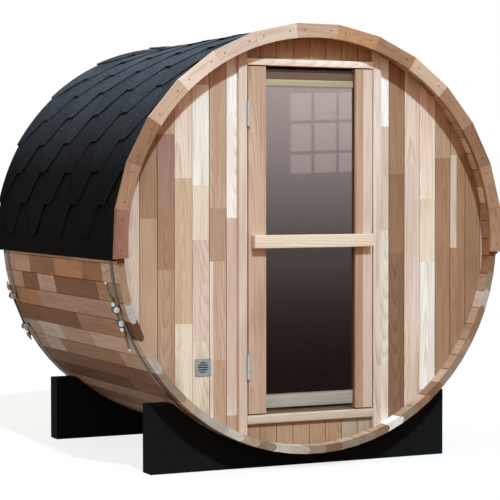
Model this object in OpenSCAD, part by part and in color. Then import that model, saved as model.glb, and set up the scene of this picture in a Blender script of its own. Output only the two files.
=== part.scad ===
/* [Barrel] */
// Outer radius of the barrel at the stave corners
barrel_r = 900; // [800:5:1100]
// Length of the staves
barrel_len = 1500; // [1200:10:2600]
// Number of staves around the barrel
stave_count = 70; // [50:10:90]
// Thickness of a stave
stave_t = 33; // [30:1:45]
// Radius of the bead along one edge of each stave
bead_r = 13; // [8:0.5:13.5]
// Width of the eased outer and inner corners of a stave
stave_ease = 1.5; // [0.5:0.25:3]
// Hairline gap between neighbouring staves
stave_gap = 0.3; // [0.2:0.05:0.6]
// Clear height between the ground and the lowest stave
ground_gap = 62; // [45:1:120]

/* [End walls] */
// Distance from the stave ends to the face of an end wall
wall_recess = 60; // [45:1:100]
// Thickness of an end wall
wall_t = 32; // [24:1:40]
// Depth of the groove in the staves that holds an end wall
croze_depth = 7; // [4:0.5:12]

/* [Doorway] */
// Clear width between the door posts
opening_w = 600; // [500:5:760]
// Width of a door post
post_w = 38; // [30:1:60]
// Distance from the stave ends to the face of the door and its frame
frame_recess = 40; // [30:1:55]
// Distance from the door's upper edge up to the inside of the barrel
over_door = 134; // [100:1:200]
// Distance from the door's lower edge down to the inside of the barrel
under_door = 144; // [110:1:220]
// Height of the header over the door
header_h = 28; // [20:1:40]
// Height of the sill under the door
sill_h = 40; // [25:1:50]

/* [Door] */
// Gap around the closed door
door_gap = 5; // [5:0.5:8]
// Width of a door stile
stile_w = 82; // [60:1:110]
// Thickness of a door stile
stile_t = 42; // [38:1:50]
// Distance from the door's face to the glass
glass_recess = 18; // [12:1:24]
// Thickness of the glass
glass_t = 6; // [4:1:8]
// Depth of the groove in a stile that holds the glass
glass_groove = 8; // [5:1:12]
// Distance from the glass edge to the ends of the stiles
glass_margin = 9; // [6:1:20]
// Height of the rails behind the glass
rail_h = 59; // [40:1:90]
// Distance from the ends of the stiles to the rails
rail_inset = 19; // [0:1:40]
// Height of the handle bar
handle_h = 55; // [35:1:70]
// Depth of the handle bar
handle_d = 36; // [25:1:45]
// Distance from each side edge of the door to the handle bar
handle_inset = 13; // [4:1:30]
// Radius of the handle bar's long edges
handle_edge_r = 4; // [2:0.5:10]

/* [Hinges] */
// Height of a hinge
hinge_h = 102; // [75:1:130]
// Distance from each end of the door to the middle of a hinge
hinge_margin = 199; // [120:1:300]
// Radius of a hinge knuckle
knuckle_r = 7; // [6:0.5:9]
// Radius of a hinge pin
hinge_pin_r = 4; // [3:0.25:4.5]
// Thickness of a hinge leaf
leaf_t = 1.6; // [1.2:0.1:1.9]
// Width of a hinge leaf behind the knuckle
leaf_w = 30; // [20:1:36]

/* [Vent] */
// Side of the square vent plate
vent_side = 72; // [60:1:90]
// Thickness of the vent plate
vent_t = 3; // [2:0.5:5]
// Radius of the hole behind the vent plate
vent_hole_r = 24; // [18:1:28]
// Number of slots in the vent plate
vent_slots = 5; // [3:1:6]
// Height of one vent slot
vent_slot_h = 5; // [3:0.5:6]
// Distance of the vent's middle to the left of the barrel's middle
vent_x = 496; // [420:1:560]
// Distance of the vent's middle below the barrel's middle
vent_drop = 518; // [400:1:560]

/* [Hoops and tensioners] */
// Width of a hoop
hoop_w = 30; // [20:1:40]
// Thickness of a hoop
hoop_t = 1.5; // [1:0.25:3]
// Distance from the stave ends to the middle of a hoop
hoop_inset = 67; // [50:1:100]
// Radius of a tensioner's cross pin
cross_pin_r = 13.2; // [10:0.2:18]
// Length of a cross pin
cross_pin_len = 36; // [32:1:50]
// Radius of a tensioner rod
rod_r = 5; // [4:0.5:7]
// Length of a tensioner rod
rod_len = 304; // [260:2:360]
// Distance from the barrel's axis to a tensioner rod, beyond the barrel's radius
rod_stand = 16; // [16:0.5:24]
// Half width over the flats of a tensioner nut
nut_r = 8.5; // [7:0.5:12]
// Thickness of a tensioner nut
nut_t = 9; // [6:0.5:12]
// Angle around the barrel where the front rod is closest to it
front_rod_angle = 200.7; // [196:0.1:206]
// Angle around the barrel where the rear rod is closest to it
rear_rod_angle = 203; // [196:0.1:208]
// Space between the front cross pins
front_pin_space = 60; // [50:1:180]
// Distance of the front cross pins' middle above the point where the rod is closest
front_pin_rise = 30; // [0:1:50]
// Space between the rear cross pins
rear_pin_space = 158; // [50:1:180]

/* [Cradles] */
// Width of a cradle
cradle_w = 1404; // [1200:2:1500]
// Height of a cradle
cradle_h = 290; // [220:1:340]
// Thickness of a cradle
cradle_t = 87; // [60:1:120]
// Distance from the front stave ends to the front cradle
front_cradle_inset = 127; // [100:1:300]
// Distance from the rear stave ends to the rear cradle
rear_cradle_inset = 114; // [100:1:300]

/* [Roof] */
// Angle from the top of the barrel to the lower edge of the roof
roof_half_span = 94.3; // [80:0.1:100]
// Angle from the top of the barrel to the lower edge of the roof's capping
cap_half_span = 5; // [3:0.1:8]
// Number of shingle courses on each side
course_count = 10; // [6:1:12]
// Thickness of the shingles at the middle of a course
shingle_t = 8; // [6:0.5:12]
// Fall of a course's face from its lower edge to its upper edge
course_fall = 4; // [2:0.5:6]
// Number of edging pieces at each end of the roof
edging_count = 15; // [9:2:21]
// Angle from the top of the barrel to the lower ends of the edging
edging_half_span = 93.75; // [80:0.25:100]
// Distance from the barrel's radius out to the edging corners
edging_rise = 18; // [12:1:26]
// Distance from the barrel's radius in to the edging's inner edge
edging_drop = 44; // [36:1:60]
// Thickness of the edging
edging_t = 20; // [14:1:30]

/* [Fit] */
// Clearance between pieces that seat on each other
fit = 0.3; // [0.2:0.05:0.5]
// Running clearance around a hinge pin
pin_fit = 0.08; // [0.05:0.01:0.1]
// Clearance between the knuckles of a hinge
knuckle_fit = 0.5; // [0.3:0.1:1]

/* [Hidden] */
$fn = 96;

barrel_z = barrel_r + ground_gap;
y_front = -barrel_len / 2;
y_back = barrel_len / 2;
stave_step = 360 / stave_count;
staves_per_group = stave_count / 10;
stave_face = barrel_r * cos(stave_step / 2);
stave_inside = stave_face - stave_t;
stave_middle = stave_face - stave_t / 2;

groove_r = stave_inside + croze_depth;
wall_r = groove_r - fit;
wall_y0 = y_front + wall_recess;
wall_y1 = wall_y0 + wall_t;

face_y = y_front + frame_recess;
post_in = opening_w / 2;
post_out = post_in + post_w;
door_z0 = under_door - stave_inside;
door_z1 = stave_inside - over_door;
header_z0 = door_z1 + door_gap;
header_z1 = header_z0 + header_h;
sill_z1 = door_z0 - door_gap;
sill_z0 = sill_z1 - sill_h;
door_edge = post_in - door_gap;
stile_in = door_edge - stile_w;
glass_y0 = face_y + glass_recess;
glass_y1 = glass_y0 + glass_t;
door_back = face_y + stile_t;

hinge_x = -(post_in + door_edge) / 2;
hinge_y = face_y - knuckle_r;
knuckle_h = hinge_h / 3;

hoop_in = barrel_r + fit;
hoop_out = hoop_in + hoop_t;
loop_in = cross_pin_r + fit;
loop_out = loop_in + hoop_t;
rod_axis = barrel_r + rod_stand;
front_pin_s0 = -front_pin_rise - front_pin_space / 2;
front_pin_s1 = front_pin_s0 + front_pin_space;
hoop_tail_angle = 0.4;
fold_w = 8;
washer_t = 2;
washer_r = nut_r * 1.35;

roof_in = hoop_out + fit;
course_step = (roof_half_span - cap_half_span) / course_count;
course_lap = course_fall / 2 / sin(course_step / 2);
hair_angle = 0.02;
edging_r = barrel_r + edging_rise;
edging_in = barrel_r - edging_drop;
edging_step = 2 * edging_half_span / edging_count;

cedar = [0.78, 0.58, 0.42];
pale_wood = [0.88, 0.74, 0.58];
black_paint = [0.05, 0.05, 0.05];
steel = [0.75, 0.76, 0.78];
bitumen = [0.10, 0.11, 0.12];
tinted = [0.30, 0.28, 0.26, 0.5];

// Outline in the plane of the barrel's end, drawn out from y0 to y1
module along_barrel(y0, y1) {
    translate([0, y1, barrel_z])
        rotate([90, 0, 0])
            linear_extrude(height = y1 - y0)
                children();
}

// Block between two corners, with heights counted from the barrel's axis
module block(x0, x1, y0, y1, z0, z1) {
    translate([x0, y0, barrel_z + z0])
        cube([x1 - x0, y1 - y0, z1 - z0]);
}

// Disc about the barrel's axis
module disc(r, y0, y1) {
    along_barrel(y0, y1) circle(r = r);
}

// Wedge about the barrel's axis between two angles less than half a turn apart
module wedge(a0, a1, r) {
    mid = (a0 + a1) / 2;
    reach = r / cos((a1 - a0) / 2);
    polygon([
        [0, 0],
        reach * [cos(a0), sin(a0)],
        reach * [cos(mid), sin(mid)] / cos((a1 - a0) / 2),
        reach * [cos(a1), sin(a1)]
    ]);
}

// Half width of a stave at a distance from the barrel's axis
function flank(r) = r * tan(stave_step / 2) - stave_gap / 2 / cos(stave_step / 2);

// One stave's section, lying along +X, with a bead on one edge and a cove in the other
module stave_section() {
    half = stave_step / 2;
    difference() {
        union() {
            polygon([
                [stave_inside, -flank(stave_inside) + stave_ease],
                [stave_inside + stave_ease, -flank(stave_inside + stave_ease)],
                [stave_face - stave_ease, -flank(stave_face - stave_ease)],
                [stave_face, -flank(stave_face) + stave_ease],
                [stave_face, flank(stave_face) - stave_ease],
                [stave_face - stave_ease, flank(stave_face - stave_ease)],
                [stave_inside + stave_ease, flank(stave_inside + stave_ease)],
                [stave_inside, flank(stave_inside) - stave_ease]
            ]);
            rotate(half) translate([stave_middle, 0]) circle(r = bead_r);
        }
        rotate(-half) translate([stave_middle, 0]) circle(r = bead_r + stave_gap);
    }
}

// A tenth of the barrel, grooved near both ends for the end walls
module staves(group) {
    first = 270 + (group * staves_per_group - (staves_per_group - 1) / 2) * stave_step;
    color(cedar)
        difference() {
            for (i = [0 : staves_per_group - 1])
                along_barrel(y_front, y_back)
                    rotate(first + i * stave_step) stave_section();
            disc(groove_r, wall_y0 - fit, wall_y1 + fit);
            disc(groove_r, -wall_y1 - fit, -wall_y0 + fit);
        }
}

module staves_bottom() { staves(0); }
module staves_bottom_right() { staves(1); }
module staves_right_low() { staves(2); }
module staves_right_high() { staves(3); }
module staves_top_right() { staves(4); }
module staves_top() { staves(5); }
module staves_top_left() { staves(6); }
module staves_left_high() { staves(7); }
module staves_left_low() { staves(8); }
module staves_bottom_left() { staves(9); }

// Saddle board under the barrel
module cradle(y0) {
    color(black_paint)
        along_barrel(y0, y0 + cradle_t)
            difference() {
                translate([-cradle_w / 2, -barrel_z]) square([cradle_w, cradle_h]);
                circle(r = barrel_r + fit);
            }
}

module cradle_front() { cradle(y_front + front_cradle_inset); }
module cradle_rear() { cradle(y_back - rear_cradle_inset - cradle_t); }

// Part of the front wall that lies in a rectangle of the end plane
module wall_part(x0, x1, z0, z1) {
    color(pale_wood)
        along_barrel(wall_y0, wall_y1)
            intersection() {
                circle(r = wall_r);
                translate([x0, z0]) square([x1 - x0, z1 - z0]);
            }
}

module front_wall_left() {
    difference() {
        wall_part(-wall_r, -post_out - fit, -wall_r, wall_r);
        along_barrel(wall_y0 - 1, wall_y1 + 1)
            translate([-vent_x, -vent_drop]) circle(r = vent_hole_r);
    }
}
module front_wall_right() { wall_part(post_out + fit, wall_r, -wall_r, wall_r); }
module front_wall_over_door() {
    wall_part(-post_in + fit, post_in - fit, header_z1 + fit, wall_r);
}
module front_wall_under_door() {
    wall_part(-post_in + fit, post_in - fit, -wall_r, sill_z0 - fit);
}
module rear_wall() {
    color(pale_wood) disc(wall_r, -wall_y1, -wall_y0);
}

// Post from ring to ring, with its ends in the wall groove
module door_post(x0) {
    color(cedar)
        intersection() {
            block(x0, x0 + post_w, face_y, wall_y1, -wall_r, wall_r);
            union() {
                disc(stave_inside - fit, face_y, wall_y1);
                disc(wall_r, wall_y0, wall_y1);
            }
        }
}

module door_post_left() { door_post(-post_out); }
module door_post_right() { door_post(post_in); }
module door_header() {
    color(cedar)
        block(-post_in + fit, post_in - fit, face_y, wall_y1, header_z0, header_z1);
}

// Sill with a half-round front edge
module door_sill() {
    nose = sill_h / 2;
    color(cedar)
        translate([-post_in + fit, 0, barrel_z])
            rotate([90, 0, 90])
                linear_extrude(height = opening_w - 2 * fit) {
                    translate([face_y + nose, sill_z0]) square([wall_y1 - face_y - nose, sill_h]);
                    translate([face_y + nose, sill_z0 + nose]) circle(r = nose);
                }
}

// Upright of the door with a groove for the glass; side is -1 at the left, 1 at the right
module door_stile(side) {
    groove_in = stile_in - 1;
    groove_out = stile_in + glass_groove;
    color(cedar)
        difference() {
            block(
                side < 0 ? -door_edge : stile_in, side < 0 ? -stile_in : door_edge,
                face_y, door_back, door_z0, door_z1);
            block(
                side < 0 ? -groove_out : groove_in, side < 0 ? -groove_in : groove_out,
                glass_y0 - fit, glass_y1 + fit, door_z0 - 1, door_z1 + 1);
        }
}

module door_stile_left() { door_stile(-1); }
module door_stile_right() { door_stile(1); }
module door_rail(z0) {
    color(cedar)
        block(-stile_in + fit, stile_in - fit, glass_y1 + fit, door_back, z0, z0 + rail_h);
}
module door_top_rail() { door_rail(door_z1 - rail_inset - rail_h); }
module door_bottom_rail() { door_rail(door_z0 + rail_inset); }
module door_glass() {
    reach = stile_in + glass_groove - fit;
    color(tinted)
        block(-reach, reach, glass_y0, glass_y1, door_z0 + glass_margin, door_z1 - glass_margin);
}

// Rectangle with rounded corners, centred
module rounded_square(w, h, r) {
    square([w - 2 * r, h], center = true);
    square([w, h - 2 * r], center = true);
    for (x = [-1, 1], y = [-1, 1])
        translate([x * (w / 2 - r), y * (h / 2 - r)]) circle(r = r);
}

// Bar across the door at the height of the barrel's axis
module door_handle() {
    reach = door_edge - handle_inset;
    color(pale_wood)
        translate([-reach, face_y - fit - handle_d / 2, barrel_z])
            rotate([90, 0, 90])
                linear_extrude(height = 2 * reach)
                    rounded_square(handle_d, handle_h, handle_edge_r);
}

// Barrel of a hinge between two heights above the hinge's lower end
module knuckle(z0, z1) {
    translate([hinge_x, hinge_y, z0]) cylinder(r = knuckle_r, h = z1 - z0);
}

// Plate of a hinge that lies in the gap beside the door
module hinge_leaf(x0, z0, z1) {
    behind = knuckle_r + knuckle_fit;
    translate([x0, hinge_y + behind, 0]) cube([leaf_t, leaf_w, hinge_h]);
    translate([x0, hinge_y, z0]) cube([leaf_t, behind + 1, z1 - z0]);
}

// Places a hinge at each of its two heights
module at_hinges() {
    for (middle = [door_z0 + hinge_margin, door_z1 - hinge_margin])
        translate([0, 0, barrel_z + middle - hinge_h / 2]) children();
}

module hinge_frame_leaves() {
    leaf_x = -post_in + fit;
    color(steel)
        at_hinges() {
            knuckle(0, knuckle_h);
            hinge_leaf(leaf_x, 0, knuckle_h);
            knuckle(2 * knuckle_h, hinge_h);
            hinge_leaf(leaf_x, 2 * knuckle_h, hinge_h);
            translate([hinge_x, hinge_y, 0]) cylinder(r = hinge_pin_r, h = hinge_h);
        }
}

module hinge_door_leaves() {
    leaf_x = -door_edge - fit - leaf_t;
    z0 = knuckle_h + knuckle_fit;
    z1 = 2 * knuckle_h - knuckle_fit;
    color(steel)
        at_hinges()
            difference() {
                union() {
                    knuckle(z0, z1);
                    hinge_leaf(leaf_x, z0, z1);
                }
                translate([hinge_x, hinge_y, -1])
                    cylinder(r = hinge_pin_r + pin_fit, h = hinge_h + 2);
            }
}

// Square plate with a round field of level slots
module vent_grille() {
    pitch = 2 * vent_hole_r / vent_slots;
    color(steel)
        along_barrel(wall_y0 - fit - vent_t, wall_y0 - fit)
            translate([-vent_x, -vent_drop])
                difference() {
                    square(vent_side, center = true);
                    for (i = [0 : vent_slots - 1])
                        intersection() {
                            circle(r = vent_hole_r - 1);
                            translate([-vent_hole_r, (i - (vent_slots - 1) / 2) * pitch - vent_slot_h / 2])
                                square([2 * vent_hole_r, vent_slot_h]);
                        }
                }
}

// Section of a hoop whose two ends are folded into loops around the cross pins.
// The rod stands square to the direction rod_angle, and the pins sit on it at shifts s0 and s1.
module hoop_section(rod_angle, s0, s1) {
    a0 = rod_angle + atan(s0 / rod_axis);
    a1 = rod_angle + atan(s1 / rod_axis);
    difference() {
        circle(r = hoop_out, $fn = 180);
        circle(r = hoop_in, $fn = 180);
        wedge(a0 + hoop_tail_angle, a1 - hoop_tail_angle, hoop_out);
    }
    rotate(a0) hoop_loop(norm([rod_axis, s0]));
    rotate(a1) hoop_loop(norm([rod_axis, s1]));
}

// Loop around a cross pin at a distance from the barrel's axis, with its fold down to the hoop
module hoop_loop(pin_axis) {
    fold_in = hoop_in + hoop_t / 2;
    fold_out = pin_axis - loop_in - hoop_t / 2;
    translate([fold_in, -fold_w / 2]) square([fold_out - fold_in, fold_w]);
    translate([pin_axis, 0])
        difference() {
            circle(r = loop_out);
            circle(r = loop_in);
        }
}

// Rod of a tensioner, or the bore around it, between two shifts along its length
module rod(rod_angle, y, r, s0, s1, sides = $fn) {
    translate([0, y, barrel_z])
        rotate([0, -rod_angle, 0])
            translate([rod_axis, 0, s0])
                cylinder(r = r, h = s1 - s0, $fn = sides);
}

module hoop(y, rod_angle, s0, s1) {
    color(steel)
        difference() {
            along_barrel(y - hoop_w / 2, y + hoop_w / 2)
                hoop_section(rod_angle, s0, s1);
            rod(rod_angle, y, rod_r + 1, s0 - 2 * loop_out, s1 + 2 * loop_out);
        }
}

// Cross pins, rod and nuts of one tensioner; the rod reaches equally far past both pins
module tensioner(y, rod_angle, s0, s1) {
    mid = (s0 + s1) / 2;
    color(steel) {
        for (s = [s0, s1])
            difference() {
                along_barrel(y - cross_pin_len / 2, y + cross_pin_len / 2)
                    rotate(rod_angle) translate([rod_axis, s]) circle(r = cross_pin_r);
                rod(rod_angle, y, rod_r + fit, s - 2 * cross_pin_r, s + 2 * cross_pin_r);
            }
        rod(rod_angle, y, rod_r, mid - rod_len / 2, mid + rod_len / 2);
        seat0 = s0 - loop_out - fit;
        seat1 = s1 + loop_out + fit;
        rod(rod_angle, y, washer_r, seat0 - washer_t, seat0);
        rod(rod_angle, y, nut_r / cos(30), seat0 - washer_t - nut_t, seat0 - washer_t, 6);
        rod(rod_angle, y, washer_r, seat1, seat1 + washer_t);
        rod(rod_angle, y, nut_r / cos(30), seat1 + washer_t, seat1 + washer_t + nut_t, 6);
    }
}

module hoop_front() {
    hoop(y_front + hoop_inset, front_rod_angle, front_pin_s0, front_pin_s1);
}
module tensioner_front() {
    tensioner(y_front + hoop_inset, front_rod_angle, front_pin_s0, front_pin_s1);
}
module hoop_rear() {
    hoop(y_back - hoop_inset, rear_rod_angle, -rear_pin_space / 2, rear_pin_space / 2);
}
module tensioner_rear() {
    tensioner(y_back - hoop_inset, rear_rod_angle, -rear_pin_space / 2, rear_pin_space / 2);
}

// One shingle course on the left, thicker at its lower edge
module course(index) {
    low = 90 + roof_half_span - index * course_step;
    high = low - course_step;
    down = (low + high) / 2 + 90;
    along_barrel(y_front, y_back)
        difference() {
            intersection() {
                wedge(high + hair_angle, low, roof_in + 2 * shingle_t);
                translate(course_lap * [cos(down), sin(down)])
                    circle(r = roof_in + shingle_t, $fn = 180);
            }
            circle(r = roof_in, $fn = 180);
        }
}

module roof_left() {
    color(bitumen) for (i = [0 : course_count - 1]) course(i);
}
module roof_right() {
    color(bitumen) mirror([1, 0, 0]) for (i = [0 : course_count - 1]) course(i);
}
module roof_cap() {
    color(bitumen)
        along_barrel(y_front, y_back)
            difference() {
                intersection() {
                    wedge(90 - cap_half_span + hair_angle, 90 + cap_half_span - hair_angle,
                        roof_in + 2 * shingle_t);
                    circle(r = roof_in + shingle_t + course_fall / 2, $fn = 180);
                }
                circle(r = roof_in, $fn = 180);
            }
}

// Straight-edged pieces around the end of the roof
module edging(y0) {
    color(cedar)
        for (i = [0 : edging_count - 1]) {
            a0 = 90 - edging_half_span + i * edging_step + hair_angle;
            a1 = a0 + edging_step - 2 * hair_angle;
            along_barrel(y0, y0 + edging_t)
                difference() {
                    polygon([
                        [0, 0],
                        edging_r * [cos(a0), sin(a0)],
                        edging_r * [cos(a1), sin(a1)]
                    ]);
                    circle(r = edging_in, $fn = 180);
                }
        }
}

module edging_front() { edging(y_front - fit - edging_t); }
module edging_rear() { edging(y_back + fit); }

cradle_front();
cradle_rear();
staves_bottom();
staves_bottom_right();
staves_right_low();
staves_right_high();
staves_top_right();
staves_top();
staves_top_left();
staves_left_high();
staves_left_low();
staves_bottom_left();
front_wall_left();
front_wall_right();
front_wall_over_door();
front_wall_under_door();
rear_wall();
door_post_left();
door_post_right();
door_header();
door_sill();
door_stile_left();
door_stile_right();
door_top_rail();
door_bottom_rail();
door_glass();
door_handle();
hinge_frame_leaves();
hinge_door_leaves();
vent_grille();
hoop_front();
hoop_rear();
tensioner_front();
tensioner_rear();
roof_left();
roof_right();
roof_cap();
edging_front();
edging_rear();
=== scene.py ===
"""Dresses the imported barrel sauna: staves, boards, shingles, door, fittings and studio."""

import math
import random

import bmesh
import bpy
from bpy.props import FloatProperty, FloatVectorProperty, IntProperty, PointerProperty
from mathutils import Matrix, Vector


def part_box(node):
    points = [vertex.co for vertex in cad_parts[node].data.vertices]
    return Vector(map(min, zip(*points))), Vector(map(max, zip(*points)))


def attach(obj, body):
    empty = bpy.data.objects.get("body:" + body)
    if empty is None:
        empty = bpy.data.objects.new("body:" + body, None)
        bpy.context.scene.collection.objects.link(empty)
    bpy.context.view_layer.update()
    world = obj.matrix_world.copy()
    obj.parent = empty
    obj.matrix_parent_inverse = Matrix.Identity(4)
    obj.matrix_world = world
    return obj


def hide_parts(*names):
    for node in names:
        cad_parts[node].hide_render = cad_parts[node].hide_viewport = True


bl_info = {
    "name": "Barrel Sauna Dressing",
    "version": (1, 0, 0),
    "blender": (4, 5, 0),
    "location": "View3D > Sidebar > Sauna",
    "description": "Builds the boards, shingles, door and fittings of a barrel sauna around its solids",
    "category": "Object",
}

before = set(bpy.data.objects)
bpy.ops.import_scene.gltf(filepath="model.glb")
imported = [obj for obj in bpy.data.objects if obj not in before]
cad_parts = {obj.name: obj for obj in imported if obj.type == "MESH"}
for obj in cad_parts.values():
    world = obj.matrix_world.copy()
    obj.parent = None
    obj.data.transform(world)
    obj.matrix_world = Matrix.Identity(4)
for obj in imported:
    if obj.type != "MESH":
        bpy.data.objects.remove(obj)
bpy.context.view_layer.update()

# Places that the frame gives
TOP_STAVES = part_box("staves_top")
AXIS_Z = (TOP_STAVES[1].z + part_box("staves_bottom")[0].z) / 2
FRONT_Y = TOP_STAVES[0].y
BACK_Y = TOP_STAVES[1].y
STAVE_NODES = sorted(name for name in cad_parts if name.startswith("staves_"))

# Directions of the frame
ACROSS = Vector((1, 0, 0))
INWARD = Vector((0, 1, 0))
UP = Vector((0, 0, 1))

# Limits of the mesh work
WELD = 1e-5
FLAT = math.radians(0.5)
SHARP = math.radians(35)

# Cosines beyond which a face counts as end grain, and as a flat side
END_FACE = 0.9
FLAT_SIDE = 0.97

# What end grain, early wood and late wood make of a length's tone, in red, green and blue
END_GRAIN = (0.72, 0.72, 0.72)
EARLY_WOOD = (1.10, 1.12, 1.14)
LATE_WOOD = (0.60, 0.49, 0.42)

# How strongly the shade of a joint reaches red, green and blue
JOINT_POWERS = (0.75, 1.0, 1.15)

# Lengths of the front boards from the bottom up: tone, height of the joint above the axis, tone.
# A board's number counts board widths from the middle of the wall.
FRONT_BOARDS = {
    -12: ("rose",),
    -11: ("rose",),
    -10: ("tan", 0.10, "chestnut"),
    -9: ("tan", -0.11, "chestnut", 0.14, "russet", 0.445, "apricot"),
    -8: ("cream", -0.335, "honey", 0.265, "peach"),
    -7: ("cream", -0.41, "rose", 0.01, "cream", 0.235, "sapwood", 0.65, "rose"),
    -6: ("tan", -0.49, "apricot", -0.08, "tan", 0.14, "apricot"),
    -5: ("tan", -0.725, "rose", 0.10, "ivory"),
    4: ("blush", -0.54, "pearl", 0.04, "shell", 0.49, "chalk"),
    5: ("umber", -0.06, "brown", 0.285, "chestnut"),
    6: ("shell", -0.37, "blush", 0.33, "shell"),
    7: ("rose", -0.66, "sapwood", -0.10, "cream", 0.175, "peach"),
    8: ("chestnut", 0.355, "tan"),
    9: ("chestnut", -0.04, "chestnut", 0.37, "tan"),
    10: ("chestnut",),
    11: ("rose",),
}

# Tones of the boards under the door, counted like the front boards from FIRST_UNDER_DOOR on
FIRST_UNDER_DOOR = -4
UNDER_DOOR_BOARDS = ("biscuit",) * 6 + ("fawn",) * 2

# Boards with a strip of other wood along their left edge: share of the width, then the strip's lengths
EDGE_STRIPS = {
    -6: (0.22, ("blush", -0.08, "tan", 0.14, "apricot")),
    9: (0.42, ("chestnut", -0.04, "rose", 0.37, "tan")),
}

# Lengths of the staves low on the left from the front: tone, distance of the joint, tone.
# A stave's number counts staves from the lowest one, clockwise below zero.
LEFT_STAVES = {
    -17: ("rose", 0.52, "tan", 1.0, "apricot"),
    -16: ("rose", 0.19, "chestnut", 0.435, "amber", 0.78, "chestnut", 1.125, "apricot", 1.35, "apricot"),
    -15: ("tan", 0.275, "umber", 0.815, "rose", 1.04, "umber", 1.265, "apricot"),
    -14: ("mauve", 1.085, "amber"),
    -13: ("walnut", 0.085, "tan", 0.645, "umber"),
    -12: ("blush", 0.565, "rose", 0.965, "sapwood", 1.25, "rose"),
    -11: ("rose", 0.315, "tan", 1.065, "blush", 1.29, "rose"),
    # Staves -10, -9 and -7 start with lengths much darker than their ends in STAVE_ENDS: painted shade of
    # the barrel's underside on their own tone
    -10: ("umber", 1.065, "umber"),
    -9: ("umber", 0.45, "walnut"),
    -8: ("apricot", 0.60, "apricot"),
    -7: ("chestnut", 0.75, "umber"),
    -6: ("cream", 0.50, "apricot"),
}

# Tones of the first lengths of the staves that follow, as seen inside the barrel's mouth
FIRST_LENGTHS = (
    "cream", "honey", "tan", "cream", "rose", "tan", "tan", "apricot", "apricot", "tan", "chalk", "tan",
    "apricot", "chestnut", "apricot", "tan", "apricot", "tan", "apricot", "blush", "apricot",
    "chestnut", "amber",
)

# Tones of the front ends of the staves, counted like the staves from FIRST_END on
FIRST_END = -17
STAVE_ENDS = (
    "brown", "tan", "tan", "ash", "walnut", "apricot", "ash", "fawn", "fawn", "honey", "ash", "ash",
    "pearl", "honey", "fawn", "pearl", "rose", "fawn", "umber", "fawn", "fawn", "chestnut", "chalk", "fawn",
    "chestnut", "umber", "fawn", "fawn", "tan", "chestnut", "chestnut", "ash", "fawn", "brown", "amber",
)

# Tones of the front edging pieces, clockwise from the lower left end
FRONT_EDGING = (
    "redwood", "chestnut", "brown", "apricot", "peach", "rose", "cream", "apricot",
    "amber", "chestnut", "honey", "chestnut", "umber", "chestnut", "chestnut",
)

# Tones that chance picks from, for the other staves and for the rear boards
COMMON_TONES = ("rose", "apricot", "tan", "tan", "honey", "chestnut", "brown", "cream")
REAR_TONES = ("apricot", "tan", "tan", "chestnut", "brown")

# Ranges of the first length and the next lengths of such a stave, and the shortest last one
FIRST_RUN = (0.1, 0.6)
NEXT_RUN = (0.2, 0.65)
LAST_RUN = 0.1

# Share of the width where two strips meet in the door's right stile, and share of the top rail's height
# above which its tone is painted shadow of the header
STILE_SEAM = 0.45
RAIL_SHADOW_EDGE = 0.46

# Places of the screws: heights in the cradles, shares of a hinge leaf and of an edging piece
CRADLE_SCREWS = (0.07, 0.17)
HINGE_SCREWS = (0.15, 0.5, 0.85)
EDGING_SCREWS = (-0.32, 0.32)

# How many courses the starter strip and a shingle reach up, and how many pitches a cap piece reaches back
STARTER_REACH = 1.1
SHINGLE_REACH = 2.07
CAP_REACH = 1.9


def length(name, description, default):
    """A size in metres."""
    return FloatProperty(name=name, description=description, default=default, unit="LENGTH", precision=4)


def turn(name, description, degrees):
    """An angle, written in degrees."""
    return FloatProperty(name=name, description=description, default=math.radians(degrees), unit="ROTATION")


def plain(name, description, default):
    """A plain number."""
    return FloatProperty(name=name, description=description, default=default)


def colour(name, description, default):
    """A linear colour."""
    return FloatVectorProperty(
        name=name, description=description, default=default, subtype="COLOR", size=3, min=0, max=1
    )


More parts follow.
